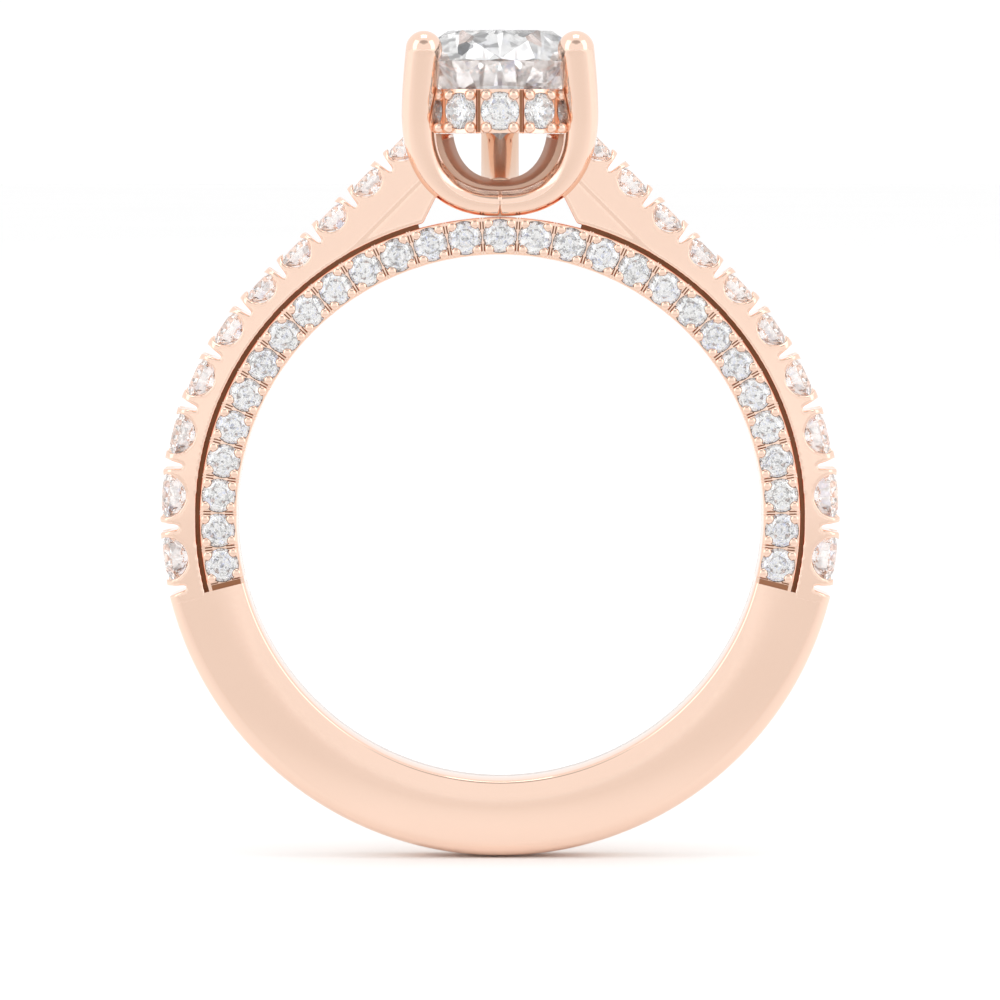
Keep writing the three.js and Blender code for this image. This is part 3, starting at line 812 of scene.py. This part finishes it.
def ball(bm, place, radius):
    made = bmesh.new()
    bmesh.ops.create_uvsphere(made, u_segments=32, v_segments=16, radius=radius)
    bmesh.ops.translate(made, vec=place, verts=made.verts)
    return add(bm, made)


def lean_at(z):
    return PRONG_FOOT_Y + PRONG_LEAN * (z - U_BASE_Z)


def front_prong(side, word):
    """One half of the U: a bar from the middle of the bend up to its ball tip."""
    foot, thick = ARM_FOOT_RADIUS, ARM_RADIUS
    points, radii = [], []
    steps = 40
    for i in range(steps + 1):
        turn = math.radians(90 * (1 - i / steps))
        x = ARM_X * abs(math.cos(turn)) ** BEND_POWER if i else 0.0
        share = math.sin(turn) ** BEND_POWER
        z = U_BEND_Z - (U_BEND_Z - U_BASE_Z - foot) * share
        points.append((x, lean_at(z), z))
        radii.append(foot + (thick - foot) * (1 - share))
    rise = ARM_TIP_Z - 0.62 - U_BEND_Z
    for i in range(1, 25):
        share = i / 24
        z = U_BEND_Z + rise * share
        points.append((ARM_X - ARM_CLOSING * share ** 1.6, lean_at(z), z))
        radii.append(thick + 0.025 * share)
    bm = tube(points, radii, "bar")
    tip = points[-1]
    ball(bm, tip, ARM_TIP_RADIUS)
    bm = fused(bm, rounds=8)
    ground = bmesh.ops.bisect_plane(
        bm, geom=bm.verts[:] + bm.edges[:] + bm.faces[:], dist=1e-6,
        plane_co=(0.012, 0, 0), plane_no=(-1, 0, 0), clear_outer=True,
    )
    rim = [e for e in ground["geom_cut"] if isinstance(e, bmesh.types.BMEdge) and e.is_boundary]
    bmesh.ops.edgeloop_fill(bm, edges=rim)
    if side < 0:
        bmesh.ops.scale(bm, vec=(-1, 1, 1), verts=bm.verts)
    piece(f"front_prong_{word}_bar", bm, GOLD, "rose_gold", f"front_prong_{word}", smooth=50)


def point_prong():
    """The curved claw behind the head, with the V claw over the point of the pear."""
    tip_y = PEAR_MIDDLE_Y + PEAR_POINT
    foot, belly, tip = Vector((0, 0.75, 10.18)), Vector((0, tip_y, 11.23)), Vector((0, tip_y, 14.7))
    points, radii = [], []
    for i in range(41):
        share = i / 40
        spot = foot * (1 - share) ** 2 + belly * 2 * share * (1 - share) + tip * share ** 2
        points.append(tuple(spot))
        radii.append(POINT_PRONG_RADIUS)
    bm = tube(points, radii, "bar")
    for v in bm.verts:
        v.co.x *= 1.3 - 0.3 * max(0.0, min(1.0, (v.co.z - 12.8) / 1.6))
    ball(bm, tip, POINT_TIP_RADIUS)
    # The claw takes the darker gold: painted shade.
    piece("point_prong_bar", fused(bm, rounds=5), SHADED_GOLD, "rose_gold", "point_prong", smooth=50)


def bend_outline(half_width, floor, top):
    """The U between its two arm tops, drawn with points of a squared half ellipse."""
    power = BEND_POWER
    line = Outline(half_width, top)
    for i in range(61):
        turn = math.radians(3 * i)
        x = half_width * math.copysign(abs(math.cos(turn)) ** power, math.cos(turn))
        z = U_BEND_Z - (U_BEND_Z - floor) * math.sin(turn) ** power
        if z < top - 0.01:
            line.to(x, z)
    return line.to(-half_width, top)


def cradle():
    """The U-shaped seat between the shoulders; its opening narrows towards the back."""
    top = HALO_FOOT_Z - 0.02
    block = bend_outline(CRADLE_HALF_WIDTH, U_BASE_Z, top).solid(-HALF_WIDTH + 0.1, HALF_WIDTH)
    room = bend_outline(CRADLE_OPENING, U_FLOOR_Z, U_BEND_Z + 0.5).solid(-HALF_WIDTH - 0.4, HALF_WIDTH + 0.4)
    for v in room.verts:
        if v.co.y > 0:
            v.co.x *= 0.72
            v.co.z = U_BEND_Z + 0.5 - (U_BEND_Z + 0.5 - v.co.z) * 0.87
    bm = cut(block, room)
    soften_edges(bm, lambda e: e.is_manifold and e.calc_face_angle() > 0.9, 0.04, 2)
    bm.normal_update()
    # Faces turned to the front and the low inner faces take the darker gold: painted shade.
    for face in bm.faces:
        spot = face.calc_center_median() - Vector((0, 0, U_BEND_Z))
        inside = Vector((face.normal.x, 0, face.normal.z)).dot(Vector((spot.x, 0, spot.z))) < -0.1
        face.material_index = 1 if face.normal.y < -0.3 or (inside and spot.z < -0.6) else 0
    piece("head_cradle_block", bm, (GOLD, INNER_SHADE_GOLD), "rose_gold", "head_cradle", smooth=35)


def halo_rail():
    """The hidden halo: a pear-shaped wall with a plate, four grains and two slots to each stone."""

    def wall(outer, inner, foot, top):
        bm = bmesh.new()
        for inset in (outer, inner):
            ring = bmesh.ops.create_circle(bm, segments=120, radius=1.0)
            for v in ring["verts"]:
                v.co = pear(math.degrees(math.atan2(v.co.x, -v.co.y)), inset)[0]
        bmesh.ops.bridge_loops(bm, edges=bm.edges[:])
        pushed = bmesh.ops.extrude_face_region(bm, geom=bm.faces[:], use_keep_orig=True)
        fresh = [v for v in pushed["geom"] if isinstance(v, bmesh.types.BMVert)]
        bmesh.ops.translate(bm, vec=(0, 0, top - foot), verts=fresh)
        bmesh.ops.translate(bm, vec=(0, PEAR_MIDDLE_Y, foot), verts=bm.verts)
        bmesh.ops.recalc_face_normals(bm, faces=bm.faces)
        return bm

    bm = wall(HALO_INSET, HALO_INSET + HALO_WALL, HALO_FOOT_Z, HALO_TOP_Z)
    recess = wall(HALO_INSET + 0.1, HALO_INSET + HALO_WALL - 0.08, HALO_FOOT_Z + 0.03, HALO_TOP_Z - 0.03)
    tools = bmesh.new()
    seats = bmesh.new()
    grains = bmesh.new()
    for place, out, diameter in halo_sites():
        add(seats, aimed(seat_tool(diameter), place, out))
        along = Vector((-out.y, out.x, 0))
        for across in (-1, 1):
            slot = bmesh.new()
            bmesh.ops.create_cube(slot, size=1.0)
            bmesh.ops.scale(slot, vec=HALO_SLOT_SIZE, verts=slot.verts)
            turn = Matrix.Rotation(math.atan2(along.y, along.x), 4, "Z")
            spot = place + along * across * (diameter + HALO_SPACING) / 2
            bmesh.ops.transform(slot, matrix=Matrix.Translation(spot) @ turn, verts=slot.verts)
            add(tools, slot)
            for up in (-1, 1):
                grain = place + along * across * diameter * 0.36 + Vector((0, 0, up * 0.5)) + out * 0.04
                bead(grains, grain, HALO_GRAIN_SIZE)
    seats_again = seats.copy()
    # The dark core inside the halo wall shows in its slots and seats: painted shade.
    piece("halo_shade_fill", cut(recess, seats_again), SHADE_FILL_GOLD, "rose_gold", "halo_rail", smooth=30)
    add(tools, seats)
    piece("halo_wall", cut(bm, tools), GOLD, "rose_gold", "halo_rail", smooth=30)
    piece("halo_grains", grains, GOLD, "rose_gold", "halo_rail", smooth=60)


# ------------------------------------------------------------ the studio
def glow(name, colour, strength):
    def build(tree):
        return tree.value("ShaderNodeEmission", 0, Color=colour, Strength=strength)

    return material(name, build)


def soft_glow(name, colour, strength):
    """A card's glow that fades out towards its rim."""

    def build(tree):
        place = tree.value("ShaderNodeTexCoord", "Object")
        reach = tree.value("ShaderNodeVectorMath", 1, {"operation": "LENGTH"}, i0=place)
        fade = (2.0 - reach * 4.0).clamped()
        shine = tree.value("ShaderNodeEmission", 0, Color=colour, Strength=strength)
        clear = tree.value("ShaderNodeBsdfTransparent", 0)
        return tree.value("ShaderNodeMixShader", 0, i0=fade * fade * (3.0 - 2.0 * fade), i1=clear, i2=shine)

    return material(name, build)


def card(name, width, height, place, towards, finish, seen=False):
    """A flat card facing a point; unless seen, it shows only in reflections and as light."""
    bm = bmesh.new()
    bmesh.ops.create_grid(bm, x_segments=1, y_segments=1, size=0.5)
    mesh = bpy.data.meshes.new(name)
    bm.to_mesh(mesh)
    bm.free()
    mesh.materials.append(finish)
    made = bpy.data.objects.new(name, mesh)
    bpy.context.scene.collection.objects.link(made)
    made.location = place
    made.scale = (width, height, 1)
    made.rotation_euler = (Vector(towards) - Vector(place)).to_track_quat("Z", "Y").to_euler()
    made.visible_camera = seen
    return made


def flag(*args):
    """A card that only reflections and refractions see."""
    made = card(*args)
    made.visible_diffuse = False
    made.visible_shadow = False
    return made


def studio():
    world = bpy.data.worlds.new("white_room")
    bpy.context.scene.world = world
    world.use_nodes = True
    tree = Tree(world.node_tree)
    sky = tree.value("ShaderNodeBackground", 0, Color=(1, 1, 1, 1), Strength=1.04)
    tree.node("ShaderNodeOutputWorld", Surface=sky)

    def floor_paint(tree):
        place = tree.value("ShaderNodeTexCoord", "Object")
        grain = tree.value("ShaderNodeTexNoise", 0, Vector=place, Scale=40.0)
        tone = grain.blend((0.94, 0.94, 0.94, 1), (0.97, 0.97, 0.97, 1))
        return tree.value("ShaderNodeBsdfPrincipled", 0, Base_Color=tone, Roughness=0.9)

    low = size_at_load[0].z
    floor = card("floor", 6.0, 6.0, (0, 0, low - 0.00005), (0, 0, 1), material("floor", floor_paint), True)
    floor.rotation_euler = (0, 0, 0)
    white = glow("white_card", (1, 1, 1, 1), 1.7)
    card("left_light", 0.3, 0.6, (-0.45, -0.25, 0.2), (0, 0, 0), white)
    card("right_light", 0.3, 0.6, (0.45, -0.25, 0.2), (0, 0, 0), white)
    card("top_light", 0.22, 0.22, (0, -0.02, 0.5), (0, 0, 0), glow("top_card", (1, 1, 1, 1), 3.0))
    shade = soft_glow("shade", (0.92, 0.905, 0.89, 1), 1.0)
    dark = soft_glow("dark_shade", (0.05, 0.05, 0.06, 1), 1.0)
    grey = soft_glow("grey_shade", (0.5, 0.48, 0.47, 1), 1.0)
    flag("front_shade", 0.26, 0.22, (0, -0.09, low + 0.0004), (0, -0.09, 1), shade)
    flag("high_front_dark", 0.5, 0.26, (0, -0.3, 0.32), (0, 0, 0), grey)
    flags = [
        flag("high_back_dark", 0.4, 0.16, (0, 0.34, 0.3), (0, 0, 0), dark),
        flag("left_dark", 0.12, 0.3, (-0.3, 0.25, 0.2), (0, 0, 0), dark),
        flag("right_dark", 0.12, 0.3, (0.3, 0.25, 0.2), (0, 0, 0), dark),
        flag("front_dark", 0.3, 0.1, (0, -0.32, 0.18), (0, 0, 0), dark),
        flag("left_front_dark", 0.08, 0.24, (-0.24, -0.24, 0.12), (0, 0, 0), dark),
        flag("right_front_dark", 0.08, 0.24, (0.24, -0.24, 0.12), (0, 0, 0), dark),
    ]
    for one in flags:  # these darken only what is seen through the diamonds
        one.visible_glossy = False


def camera():
    data = bpy.data.cameras.new("camera")
    data.sensor_width = 36
    data.lens = CAMERA_LENS
    data.clip_start = 0.001
    data.clip_end = 20
    made = bpy.data.objects.new("camera", data)
    bpy.context.scene.collection.objects.link(made)
    up = math.radians(CAMERA_RISE)
    aim = Vector((0, 0, AIM_HEIGHT))
    made.location = aim + Vector((0, -math.cos(up), math.sin(up))) * CAMERA_DISTANCE
    made.rotation_euler = (aim - made.location).to_track_quat("-Z", "Y").to_euler()
    bpy.context.scene.camera = made


centre_stone()
small_stones()
set_half(1, "right")
set_half(-1, "left")
plain_shank()
gallery_arch()
halo_rail()
front_prong(1, "right")
front_prong(-1, "left")
point_prong()
cradle()
studio()
camera()

scene = bpy.context.scene
scene.view_settings.view_transform = "Standard"
scene.cycles.max_bounces = 32
scene.cycles.glossy_bounces = 24
scene.cycles.transmission_bounces = 24
